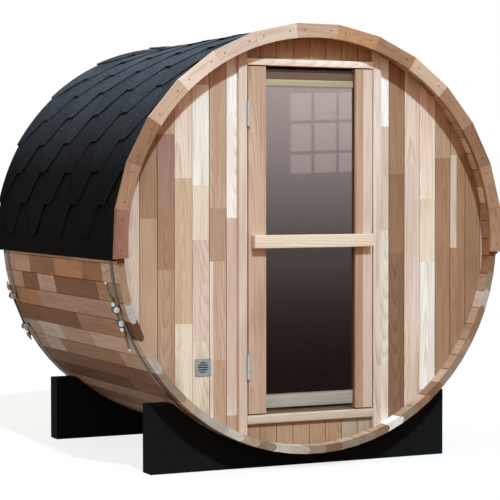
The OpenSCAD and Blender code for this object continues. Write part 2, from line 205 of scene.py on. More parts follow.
class SaunaSizes(bpy.types.PropertyGroup):
    """Sizes of what is added to the solids."""

    stave_count: IntProperty(name="Staves", description="Number of staves around the barrel", default=70)
    stave_ease: length("Stave ease", "Width taken off the corners of the staves", 0.0026)
    stave_joint_shade: plain("Stave joint shade", "Tone of the stave joints", 0.2)
    board_pitch: length("Board pitch", "Width of one wall board", 0.0775)
    board_ease: length("Board ease", "Rounding along the edges of the wall boards", 0.0018)
    joint_shade: plain("Joint shade", "Tone of the slopes of the board joints", 0.4)
    sill_nose: length("Sill nose", "Rounding of the front edges of the sill", 0.009)
    sill_stop: length("Sill stop", "Height of the strip that the door closes against", 0.012)
    sill_gap: length("Sill gap", "Gap between the closed door and that strip", 0.003)
    frame_ease: length("Frame ease", "Rounding along the edges of the door and its frame", 0.0018)
    edging_ease: length("Edging ease", "Rounding along the edges of the roof edging", 0.0015)
    edging_arc: turn("Edging piece", "Angle that one edging piece covers", 12.5)
    edging_end: turn("Edging end", "Angle from the top to the lower ends of the edging", 93.75)
    tab_pitch: length("Tab pitch", "Distance between two tabs of a shingle course", 0.338)
    tab_foot: length("Tab foot", "Width of the straight lower end of a tab", 0.078)
    course_arc: turn("Course", "Angle of a shingle course to the weather", 8.93)
    first_course: turn("First course", "Angle from the top to the lowest tabs", 89.2)
    eave: turn("Eave", "Angle from the top to the lower edge of the starter strip", 94.3)
    cap_arc: turn("Ridge cap", "Angle from the top to the edge of the ridge cap", 5.0)
    cap_pitch: length("Cap pitch", "Distance between two ridge cap pieces", 0.143)
    cap_step: length("Cap step", "Rise of a ridge cap piece over the one behind it", 0.0026)
    shingle: length("Shingle", "Thickness of one shingle", 0.003)
    lap_gap: length("Lap gap", "Gap between two shingles that lap", 0.0004)
    tab_lift: length("Tab lift", "How far the lower end of a tab stands off the roof", 0.0055)
    rear_lap: length("Rear lap", "Reach of the shingles over the rear edging", 0.017)
    ride_run: length("Ride run", "Distance over which the shingles rise to the rear edging", 0.09)
    ride_rise: length("Ride rise", "Rise of the shingles over the rear edging", 0.0135)
    roof_inside: length("Roof inside", "Radius of the underside of the roof", 0.9021)
    roof_outside: length("Roof outside", "Radius of the roof at the lower end of a tab", 0.9122)
    edging_screw: length("Edging screw", "Radius of the screw heads in the edging", 0.0033)
    edging_screw_row: length("Edging screw row", "Distance of those screws from the barrel's axis", 0.888)
    cradle_screw: length("Cradle screw", "Radius of the screw heads in the cradles", 0.006)
    cradle_screw_inset: length("Cradle screw inset", "Distance of those screws from a cradle's ends", 0.029)
    hinge_screw: length("Hinge screw", "Radius of the screw heads in the hinges", 0.0035)
    hinge_screw_inset: length("Hinge screw inset", "Distance of those screws from a leaf's edge", 0.012)
    vent_screw: length("Vent screw", "Radius of the screw heads in the vent", 0.003)
    vent_screw_reach: length("Vent screw reach", "Distance of those screws from its middle lines", 0.028)
    vent_rim: length("Vent rim", "Inner radius of the rim around the vent's slots", 0.0245)
    vent_rim_width: length("Vent rim width", "Width of that rim", 0.0035)
    vent_rim_height: length("Vent rim height", "How far that rim stands proud", 0.0012)
    gauze_radius: length("Gauze radius", "Radius of the gauze behind the vent's slots", 0.0236)
    gauze_height: length("Gauze height", "Thickness of that gauze", 0.0006)
    thread_pitch: length("Thread pitch", "Distance between two threads of a tensioner rod", 0.002)
    thread_root: length("Thread root", "Radius of the tensioner rods between their threads", 0.0042)
    rod_radius: length("Rod radius", "Radius of the tensioner rods over their threads", 0.005)
    tip_radius: length("Tip radius", "Radius of the collar on a rod's end", 0.0053)
    tip_length: length("Tip length", "Length of the collar on a rod's end", 0.009)
    nut_radius: length("Nut radius", "Half the width of a nut across its flats", 0.0085)
    nut_height: length("Nut height", "Thickness of a nut", 0.021)
    bush_radius: length("Bush radius", "Radius of the bush between a washer and its nut", 0.0088)
    bush_length: length("Bush length", "Length of the bush between a washer and its nut", 0.013)
    washer_radius: length("Washer radius", "Radius of a washer", 0.011475)
    washer_height: length("Washer height", "Thickness of a washer", 0.002)
    loop_reach: length("Loop reach", "Distance from a cross pin's axis to the washer on its loop", 0.0175)


class SaunaColours(bpy.types.PropertyGroup):
    """Colours of the finishes."""

    chalk: colour("Chalk", "White cedar", (0.96, 0.97, 0.95))
    ivory: colour("Ivory", "White cedar with a warm cast", (0.90, 0.86, 0.82))
    sapwood: colour("Sapwood", "Almost white cedar", (0.84, 0.81, 0.75))
    pearl: colour("Pearl", "Greyed pale cedar", (0.70, 0.665, 0.57))
    petal: colour("Petal", "Palest pink cedar", (0.98, 0.85, 0.76))
    peach: colour("Peach", "Pale warm cedar", (0.82, 0.67, 0.565))
    blush: colour("Blush", "Almost white pink cedar", (0.75, 0.62, 0.55))
    cream: colour("Cream", "Pale cedar", (0.74, 0.63, 0.51))
    straw: colour("Straw", "Pale yellow cedar", (0.88, 0.80, 0.54))
    shell: colour("Shell", "Soft pink cedar", (0.70, 0.565, 0.48))
    rose: colour("Rose", "Pale pink cedar", (0.64, 0.50, 0.42))
    ash: colour("Ash", "Weathered pale cedar", (0.58, 0.55, 0.52))
    mauve: colour("Mauve", "Dull pink cedar", (0.57, 0.42, 0.36))
    sand: colour("Sand", "Dull pale cedar", (0.555, 0.455, 0.37))
    honey: colour("Honey", "Golden cedar", (0.57, 0.43, 0.30))
    apricot: colour("Apricot", "Warm middle cedar", (0.56, 0.39, 0.29))
    amber: colour("Amber", "Warm golden brown cedar", (0.49, 0.275, 0.155))
    tan: colour("Tan", "Middle brown cedar", (0.47, 0.315, 0.22))
    biscuit: colour("Biscuit", "Dry brown cedar", (0.395, 0.255, 0.165))
    fawn: colour("Fawn", "Weathered brown cedar", (0.36, 0.28, 0.21))
    chestnut: colour("Chestnut", "Deep tan cedar", (0.36, 0.215, 0.135))
    brown: colour("Brown", "Dark cedar", (0.30, 0.17, 0.105))
    umber: colour("Umber", "Darker cedar", (0.265, 0.15, 0.093))
    walnut: colour("Walnut", "Darkest cedar", (0.16, 0.08, 0.045))
    cinnamon: colour("Cinnamon", "Red brown cedar", (0.42, 0.27, 0.165))
    russet: colour("Russet", "Dull red cedar", (0.395, 0.235, 0.19))
    redwood: colour("Redwood", "Dark red cedar", (0.34, 0.17, 0.125))
    black_stain: colour("Black stain", "Stain on the cradles", (0.0087, 0.0096, 0.0110))
    worn_stain: colour("Worn stain", "Paler wear on the cradles", (0.014, 0.014, 0.015))
    stain_line: colour("Stain line", "Dark grain under the stain", (0.004, 0.004, 0.004))
    bitumen: colour("Bitumen", "Darkest part of the shingles", (0.007, 0.0075, 0.008))
    cut_edge: colour("Cut edge", "Cut edges of the shingles", (0.008, 0.008, 0.009))
    deep_edge: colour("Deep edge", "Darkest part of those edges", (0.003, 0.003, 0.003))
    granules: colour("Granules", "Mineral granules on the shingles", (0.0078, 0.0080, 0.0086))
    # The paler, bluer granules near the ridge are painted sky light and sheen
    sky_sheen_granules: colour("Sheen granules", "Mineral granules near the ridge", (0.084, 0.107, 0.144))
    steel: colour("Steel", "Bright steel", (0.66, 0.66, 0.66))
    hinge_white: colour("Hinge", "Satin hinge steel", (0.50, 0.50, 0.505))
    # The hoops' dark steel is painted reflection of dark surroundings
    hoop_steel: colour("Hoop", "Dulled steel of the hoops", (0.0693, 0.0693, 0.0693))
    vent_alloy: colour("Vent", "Satin alloy of the vent", (0.36, 0.37, 0.385))
    # Partly a black gauze, partly painted shade of the hole behind the vent's slots
    gauze_and_hole_shade: colour("Black wire", "Gauze behind the vent", (0.006, 0.005, 0.005))
    blackened: colour("Blackened steel", "Screws in the cradles", (0.012, 0.012, 0.012))
    browned: colour("Browned steel", "Screws in the roof edging", (0.10, 0.075, 0.06))
    dull_steel: colour("Dull steel", "Threaded rods", (0.15, 0.14, 0.13))
    yellow_zinc: colour("Yellow zinc", "Passivated nuts", (0.22, 0.145, 0.035))
    glass: colour("Glass", "Tint of the door's glass", (0.022, 0.0125, 0.0105))
    floor: colour("Floor", "Studio floor", (0.80, 0.80, 0.80))
    dust: colour("Dust", "Dust on the studio floor", (0.7, 0.7, 0.7))


class SaunaStudio(bpy.types.PropertyGroup):
    """Camera and light of the studio."""

    camera_place: FloatVectorProperty(
        name="Camera place", description="Where the camera stands", default=(-3.4979, -7.5044, 1.1929),
        subtype="TRANSLATION", precision=4,
    )
    camera_pitch: turn("Camera pitch", "Tilt of the camera above the level", -1.736)
    camera_roll: turn("Camera roll", "Roll of the camera", 0.05)
    camera_yaw: turn("Camera yaw", "Turn of the camera from the barrel's axis to the right", 25.168)
    lens: plain("Lens", "Focal length on a 36 mm sensor", 129.76)
    shift_x: plain("Shift across", "Sideways shift of the picture", 0.0075)
    shift_y: plain("Shift up", "Upward shift of the picture", -0.0178)
    key_height: turn("Key height", "Height of the key light above the level", 45.5)
    key_turn: turn("Key turn", "Turn of the key light to the left of the door", 6)
    key_softness: turn("Key softness", "Angle that the key light seems to fill", 3)
    key_power: plain("Key", "Strength of the key light", 2.98)
    key_tint: colour("Key tint", "Colour of the key light", (0.70, 0.905, 1.0))
    sky_top: plain("Sky overhead", "Strength of the soft light overhead", 0.60)
    sky_side: plain("Sky at the sides", "Strength of the soft light all around", 0.58)
    sky_tint: colour("Sky tint", "Colour of the soft light", (1.0, 0.88, 0.77))
    fill: plain("Fill", "Strength of the warm light from the upper left", 0.88)
    fill_tint: colour("Fill tint", "Colour of that warm light", (1.0, 0.84, 0.68))
    bounce: colour("Bounce", "Light that the floor before the door throws back", (0.32, 0.13, 0.055))
    shade: colour("Floor shade", "Light that the rest of the floor throws back", (0.07, 0.06, 0.055))
    floor_glow: plain("Floor glow", "Strength of the floor's own white", 1.06)
    reflection: plain("Reflection", "Strength of the card the door reflects", 2.65)


def operator(operation, reflected=False):
    """A method that adds a Math node; in a reflected one the wire is the second value."""

    def method(self, other):
        values = (other, self) if reflected else (self, other)
        return self.paint.node("ShaderNodeMath", {"operation": operation}, dict(enumerate(values)))

    return method


class Wire:
    """A shader socket that takes part in Python arithmetic; each operation adds a Math node."""

    def __init__(self, paint, socket):
        self.paint = paint
        self.socket = socket

    __add__ = operator("ADD")
    __radd__ = operator("ADD", reflected=True)
    __sub__ = operator("SUBTRACT")
    __rsub__ = operator("SUBTRACT", reflected=True)
    __mul__ = operator("MULTIPLY")
    __rmul__ = operator("MULTIPLY", reflected=True)
    __truediv__ = operator("DIVIDE")
    __rtruediv__ = operator("DIVIDE", reflected=True)
    __pow__ = operator("POWER")
    __rpow__ = operator("POWER", reflected=True)
    larger = operator("MAXIMUM")

    def fraction(self):
        """What is left above the whole number."""
        return self.paint.node("ShaderNodeMath", {"operation": "FRACT"}, {0: self})

    def root(self):
        """The square root."""
        return self.paint.node("ShaderNodeMath", {"operation": "SQRT"}, {0: self})

    def above(self, low, high):
        """0 below low, 1 above high and a soft step between."""
        steps = {"interpolation_type": "SMOOTHSTEP"}
        sockets = {"Value": self, "From Min": low, "From Max": high}
        return self.paint.node("ShaderNodeMapRange", steps, sockets)


class Paint:
    """One node tree under construction."""

    def __init__(self, tree):
        self.tree = tree
        tree.nodes.clear()

    def node(self, kind, settings=None, sockets=None, output=0):
        """Adds a node: its settings first, then the values or links of its sockets. Returns one output."""
        made = self.tree.nodes.new(kind)
        for key, value in (settings or {}).items():
            setattr(made, key, value)
        for key, value in (sockets or {}).items():
            if isinstance(value, Wire):
                self.tree.links.new(value.socket, made.inputs[key])
            else:
                made.inputs[key].default_value = value
        return Wire(self, made.outputs[output]) if made.outputs else None

    def mix(self, factor, a, b, blend="MIX"):
        """Mixes two colours."""
        settings = {"data_type": "RGBA", "blend_type": blend}
        return self.node("ShaderNodeMix", settings, {0: factor, 6: rgba(a), 7: rgba(b)}, output=2)

    def stretch(self, vector, scale):
        """Scales a vector on each axis."""
        return self.node("ShaderNodeVectorMath", {"operation": "MULTIPLY"}, {0: vector, 1: scale})

    def split(self, vector):
        """The three numbers of a vector."""
        parts = self.node("ShaderNodeSeparateXYZ", None, {0: vector})
        return [Wire(self, socket) for socket in parts.socket.node.outputs]

    def noise(self, vector, scale=1.0, detail=2.0, roughness=0.5):
        """Soft noise around one half."""
        sockets = {"Vector": vector, "Scale": scale, "Detail": detail, "Roughness": roughness}
        return self.node("ShaderNodeTexNoise", None, sockets)

    def bump(self, height, distance, strength):
        """A normal that follows a height over the surface."""
        sockets = {"Height": height, "Distance": distance, "Strength": strength}
        return self.node("ShaderNodeBump", None, sockets, output="Normal")

    def place(self):
        """Place in the frame at rest, in metres."""
        return self.node("ShaderNodeTexCoord", output="Object")

    def seen(self):
        """1 where the camera, a reflection or a clear body looks, 0 for the light that spreads."""
        path = self.node("ShaderNodeLightPath").socket.node
        camera, gloss, clear = [Wire(self, path.outputs[f"Is {kind} Ray"])
                                for kind in ("Camera", "Glossy", "Transmission")]
        return camera.larger(gloss).larger(clear)

    def surface(self, sockets):
        """Ends the tree in a Principled surface."""
        self.end(self.node("ShaderNodeBsdfPrincipled", None, sockets))

    def end(self, shader):
        """Ends the tree in a shader."""
        self.node("ShaderNodeOutputMaterial", None, {"Surface": shader})


def rgba(value):
    """A colour as four numbers; a link stays as it is."""
    return value if isinstance(value, Wire) else (*value, 1)


def painted(name):
    """A new material and the tree to paint it with."""
    material = bpy.data.materials.new(name)
    material.use_nodes = True
    return material, Paint(material.node_tree)


def planed_cedar():
    """Planed cedar that takes its tone and grain from the lengths it is laid on."""
    if "planed_cedar" in bpy.data.materials:
        return bpy.data.materials["planed_cedar"]
    material, p = painted("planed_cedar")
    tone = p.node("ShaderNodeAttribute", {"attribute_name": "tone"}, output="Color")
    grain = p.node("ShaderNodeAttribute", {"attribute_name": "grain"}, output="Vector")
    across, _, depth = p.split(grain)
    drift = p.noise(p.stretch(grain, (10, 1.3, 10)), detail=2)
    ring = ((across * across + depth * depth).root() * 210 + drift * 4).fraction()
    late = ring.above(0.3, 0.9) * (1 - ring.above(0.92, 1.0))
    figure = p.noise(p.stretch(grain, (0, 0.35, 0)), detail=0).above(0.35, 0.65)
    fibre = p.noise(p.stretch(grain, (600, 9, 600)), detail=2, roughness=0.65)
    streak = p.noise(p.stretch(grain, (95, 1.3, 95)), detail=3)
    patch = p.noise(p.stretch(grain, (12, 1.9, 12)), detail=3)
    lines = late * (0.12 + figure * 0.28) + fibre.above(0.5, 0.85) * 0.2
    clouds = streak.above(0.46, 0.72) * 0.3 + patch.above(0.42, 0.72) * 0.26
    early = p.mix(1.0, tone, EARLY_WOOD, "MULTIPLY")
    darkened = p.mix(1.0, tone, LATE_WOOD, "MULTIPLY")
    p.surface({
        "Base Color": p.mix(lines + clouds, early, darkened),
        "Roughness": 0.55 + fibre * 0.2,
        "Specular IOR Level": 0.05,
        "Normal": p.bump(fibre * 0.5 + late * 0.5, 0.0003, 0.5),
    })
    return material


def black_timber(colours):
    """Black stained timber with a little grain and paler wear."""
    material, p = painted("black_stained_timber")
    place = p.place()
    fibre = p.noise(p.stretch(place, (12, 500, 500)), detail=3)
    cloud = p.noise(place, scale=5, detail=4)
    worn = p.mix(cloud.above(0.45, 0.8) * 0.5, colours.black_stain, colours.worn_stain)
    p.surface({
        "Base Color": p.mix(fibre.above(0.5, 0.8) * 0.5, worn, colours.stain_line),
        "Roughness": 0.7 + cloud * 0.2,
        "Specular IOR Level": 0.02,
        "Normal": p.bump(fibre, 0.0006, 0.5),
    })
    return material


def mineral_shingle(colours):
    """Bitumen shingle with mineral granules, dark at the eaves and paler and bluer towards the ridge as
    painted sky light and sheen.
    """
    material, p = painted("mineral_shingle")
    place = p.place()
    _, _, height = p.split(place)
    grit = p.node("ShaderNodeTexVoronoi", None, {"Vector": place, "Scale": 700}, output="Distance")
    speck = p.node("ShaderNodeTexVoronoi", None, {"Vector": place, "Scale": 260}, output="Color")
    chance, _, _ = p.split(speck)
    cloud = p.noise(place, scale=9, detail=4)
    # Towards the ridge the granules turn paler and bluer: painted sky light and sheen of the upper courses
    ridge_sheen = ((height - AXIS_Z) + (cloud - 0.5) * 0.1).above(0.22, 0.86)
    weather = p.node("ShaderNodeAttribute", {"attribute_name": "weather"}, output="Fac")
    mean = p.mix(ridge_sheen, colours.granules, colours.sky_sheen_granules)
    granules = p.mix(1.0, mean, p.mix(weather, (0.84, 0.84, 0.84), (1.16, 1.16, 1.16)), "MULTIPLY")
    body = p.mix(grit.above(0.1, 0.7), granules, p.mix(0.6, granules, colours.bitumen))
    body = p.mix(cloud.above(0.35, 0.75) * 0.3, body, colours.bitumen)
    fleck = p.mix(1.0, granules, (2.0, 2.0, 2.0), "MULTIPLY")
    p.surface({
        "Base Color": p.mix(chance.above(0.88, 0.97) * 0.6, body, fleck),
        "Roughness": 0.24 + cloud * 0.12,
        "IOR": 1.012,
        "Normal": p.bump(1 - grit, 0.0004, 0.3),
    })
    return material


def cut_bitumen(colours):
    """Bare bitumen of a shingle's cut edges and underside."""
    material, p = painted("cut_bitumen")
    cloud = p.noise(p.place(), scale=60, detail=3)
    p.surface({
        "Base Color": p.mix(cloud.above(0.3, 0.7), colours.deep_edge, colours.cut_edge),
        "Roughness": 0.8 + cloud * 0.15,
        "IOR": 1.05,
    })
    return material


def brushed_metal(name, tint, roughness, grain_scale):
    """Metal with fine scratches and duller patches."""
    material, p = painted(name)
    place = p.place()
    scratch = p.noise(p.stretch(place, grain_scale), detail=2)
    dull = p.noise(place, scale=40, detail=3)
    dulled = [0.6 * part for part in tint]
    p.surface({
        "Base Color": p.mix(dull.above(0.45, 0.75) * 0.5, tint, dulled),
        "Metallic": 1.0,
        "Roughness": roughness + scratch * 0.12 + dull * 0.1,
        "Normal": p.bump(scratch, 0.0002, 0.3),
    })
    return material


def tinted_glass(colours):
    """Tinted float glass, more opaque between the rails as painted shade of the dark inside, and clearer in
    front of the rails.
    """
    material, p = painted("tinted_glass")
    place = p.place()
    film = p.noise(place, scale=3, detail=2)
    _, _, height = p.split(place)
    low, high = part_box("door_bottom_rail")[1].z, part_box("door_top_rail")[0].z
    # Between the rails the glass is more opaque: painted shade of the barrel's dark inside
    before_rails = 1 - height.above(low - WELD, low + WELD) + height.above(high - WELD, high + WELD)
    p.surface({
        "Base Color": (*colours.glass, 1),
        "Roughness": 0.008 + film * 0.006,
        "IOR": 2.0,
        "Specular IOR Level": 1.0,
        "Alpha": 0.62 - before_rails * 0.46,
    })
    return material


def paint_node(node, material):
    """Gives a CAD node a finish."""
    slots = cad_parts[node].data.materials
    slots.clear()
    slots.append(material)


def solid(node):
    """Bmesh of a CAD node, its corners welded and its flat faces whole."""
    mesh = bmesh.new()
    mesh.from_mesh(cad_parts[node].data)
    bmesh.ops.remove_doubles(mesh, verts=mesh.verts, dist=WELD)
    bmesh.ops.dissolve_limit(mesh, angle_limit=FLAT, verts=mesh.verts, edges=mesh.edges)
    return mesh


def rebuilt(faces):
    """A bmesh of these faces alone."""
    part = bmesh.new()
    corners = {}
    for face in faces:
        for vert in face.verts:
            if vert not in corners:
                corners[vert] = part.verts.new(vert.co)
        part.faces.new([corners[vert] for vert in face.verts])
    return part


def shells(node):
    """Each separate solid of a CAD node, as a bmesh."""
    whole = solid(node)
    for face in whole.faces:
        face.tag = False
    parts = []
    for first in whole.faces:
        if first.tag:
            continue
        first.tag = True
        shell = [first]
        for face in shell:
            for other in (other for edge in face.edges for other in edge.link_faces):
                if not other.tag:
                    other.tag = True
                    shell.append(other)
        parts.append(rebuilt(shell))
    whole.free()
    return parts


def corners_of(mesh):
    """Lowest and highest corner of a bmesh."""
    spots = [vert.co for vert in mesh.verts]
    low = Vector([min(spot[i] for spot in spots) for i in range(3)])
    high = Vector([max(spot[i] for spot in spots) for i in range(3)])
    return low, high


def middle_of(mesh):
    """Middle of a bmesh's box."""
    low, high = corners_of(mesh)
    return (low + high) / 2


def everything(mesh):
    """All corners, edges and faces of a bmesh."""
    return mesh.verts[:] + mesh.edges[:] + mesh.faces[:]


def part_off(mesh, direction, place):
    """Cuts the faces of a bmesh across a direction, with nothing taken away."""
    bmesh.ops.bisect_plane(mesh, geom=everything(mesh), plane_co=direction * place, plane_no=direction)


def keep_between(mesh, direction, low, high):
    """Keeps what lies between two planes across a direction, with the cuts closed."""
    for place, away in ((low, -direction), (high, direction)):
        cut = bmesh.ops.bisect_plane(
            mesh, geom=everything(mesh), plane_co=direction * place, plane_no=away, clear_outer=True
        )
        rim = [part for part in cut["geom_cut"] if isinstance(part, bmesh.types.BMEdge)]
        if rim:
            bmesh.ops.edgenet_fill(mesh, edges=rim)


def ease(mesh, width):
    """Rounds the sharp edges of a bmesh a little."""
    sharp = [edge for edge in mesh.edges if len(edge.link_faces) == 2 and edge.calc_face_angle() > SHARP]
    bmesh.ops.bevel(
        mesh, geom=sharp, offset=width, segments=2, profile=0.5, affect="EDGES", clamp_overlap=True
    )


def data_from(mesh, name):
    """Turns a bmesh into mesh data of a name."""
    data = bpy.data.meshes.new(name)
    mesh.to_mesh(data)
    mesh.free()
    return data


def show(mesh, name, material):
    """Links a mesh into the scene as an object with soft faces and sharp edges."""
    mesh.materials.append(material)
    mesh.shade_smooth()
    mesh.set_sharp_from_angle(angle=SHARP)
    piece = bpy.data.objects.new(name, mesh)
    bpy.context.scene.collection.objects.link(piece)
    return piece


def seat(piece, body, slot, *nodes):
    """Lets a piece ride on a body and stand for CAD nodes, which it hides; slot is not used."""
    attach(piece, body)
    if nodes:
        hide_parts(*nodes)
    return piece


def piece_from(mesh, name, material, body, slot, *nodes):
    """Turns a bmesh into a seated piece."""
    bmesh.ops.recalc_face_normals(mesh, faces=mesh.faces)
    return seat(show(data_from(mesh, name), name, material), body, slot, *nodes)


class Timberwork:
    """Gathers lengths of wood into one mesh, each with its own tone and its own run of grain."""

    def __init__(self, name, colours):
        self.name = name
        self.colours = colours
        self.chance = random.Random(name)
        self.corners = []
        self.faces = []
        self.tones = []
        self.grain = []

    def log(self):
        """Where a length lay in its log: the heart's place beside it, how far along, and its lean."""
        swing = self.chance.gauss(0, 0.7) + self.chance.choice((0, math.pi))
        reach = self.chance.uniform(0.03, 0.11)
        heart = Vector((reach * math.sin(swing), self.chance.uniform(-40, 40), reach * math.cos(swing)))
        return heart, self.chance.uniform(0.01, 0.07) * self.chance.choice((-1, 1))

    def shade(self, tone):
        """A tone a little paler or darker than its name says."""
        level = self.chance.uniform(0.95, 1.05)
        return [min(1.0, level * part) for part in getattr(self.colours, tone)]

    def add(self, mesh, along, depth, lengths, across_cut=None, joint_shade=1.0, end=None):
        """Adds a solid whose lengths are told as tone, joint, tone.

        The joints are places along the grain, or along across_cut where that is given. The end is the
        tone of the first end's end grain, where it isn't that of the first length.
        """
        tones, joints = lengths[0::2], list(lengths[1::2])
        cut = across_cut or along
        for joint in joints:
            part_off(mesh, cut, joint)
        mesh.normal_update()
        mesh.verts.index_update()
        middle = middle_of(mesh)
        axes = (along.cross(depth), along, depth)
        logs = [self.log() for _ in tones]
        shades = [self.shade(tone) for tone in tones]
        end_shade = self.shade(end) if end else shades[0]
        first = len(self.corners)
        self.corners.extend(vert.co.copy() for vert in mesh.verts)
        for face in mesh.faces:
            place = face.calc_center_median().dot(cut)
            index = sum(joint < place for joint in joints)
            heart, lean = logs[index]
            self.faces.append([first + vert.index for vert in face.verts])
            levels = self.levels(face.normal, axes, joint_shade)
            shade = end_shade if face.normal.dot(along) < -END_FACE else shades[index]
            self.tones.extend((*(level * part for level, part in zip(levels, shade)), 1.0))
            for vert in face.verts:
                across, run, deep = [(vert.co - middle).dot(axis) for axis in axes]
                self.grain.extend(heart + Vector((across, run, deep + lean * run)))
        mesh.free()

    def levels(self, normal, axes, joint_shade):
        """How dark a face is for its wood: end grain is darker, and the slopes of a joint are brown."""
        across, along, depth = [abs(normal.dot(axis)) for axis in axes]
        if along > END_FACE:
            return END_GRAIN
        slope = joint_shade if max(across, depth) < FLAT_SIDE else 1.0
        return [slope ** power for power in JOINT_POWERS]

    def piece(self, material, body, slot, *nodes):
        """The finished mesh as a piece on its body."""
        data = bpy.data.meshes.new(self.name)
        data.from_pydata(self.corners, [], self.faces)
        tone = data.attributes.new("tone", "FLOAT_COLOR", "FACE")
        tone.data.foreach_set("color", self.tones)
        grain = data.attributes.new("grain", "FLOAT_VECTOR", "CORNER")
        grain.data.foreach_set("vector", self.grain)
        return seat(show(data, self.name, material), body, slot, *nodes)


def laid_at_random(chance, low, high):
    """Lengths of random tones between two ends: tone, joint, tone."""
    lengths = [chance.choice(COMMON_TONES)]
    place = low + chance.uniform(*FIRST_RUN)
    while place < high - LAST_RUN:
        lengths += [place, chance.choice(COMMON_TONES)]
        place += chance.uniform(*NEXT_RUN)
    return tuple(lengths)


def lathe(mesh, profile, matrix, sides=16):
    """Turns a profile of (radius, height) points around an axis and closes its ends."""
    rings = []
    for radius, height in profile:
        ring = []
        for step in range(sides):
            angle = 2 * math.pi * step / sides
            spot = Vector((radius * math.cos(angle), radius * math.sin(angle), height))
            ring.append(mesh.verts.new(matrix @ spot))
        rings.append(ring)
    for lower, upper in zip(rings, rings[1:]):
        for step in range(sides):
            after = (step + 1) % sides
            mesh.faces.new((lower[step], lower[after], upper[after], upper[step]))
    mesh.faces.new(rings[0][::-1])
    mesh.faces.new(rings[-1])


def facing(place, direction):
    """A placing whose Z axis points along a direction."""
    return Matrix.Translation(place) @ direction.to_track_quat("Z", "Y").to_matrix().to_4x4()


def screw(mesh, place, direction, radius):
    """Adds a low screw head with a recess."""
    profile = ((radius, -0.3 * radius), (radius, 0.12 * radius), (0.8 * radius, 0.3 * radius),
               (0.42 * radius, 0.3 * radius), (0.3 * radius, -0.2 * radius))
    lathe(mesh, profile, facing(place, direction), sides=12)


def around(angle, radius, y):
    """A point at an angle from the top of the barrel, clockwise seen from the door."""
    return Vector((radius * math.sin(angle), y, AXIS_Z + radius * math.cos(angle)))


def angle_from_top(place):
    """Angle of a point from the top of the barrel, clockwise seen from the door."""
    return math.atan2(place.x, place.z - AXIS_Z)


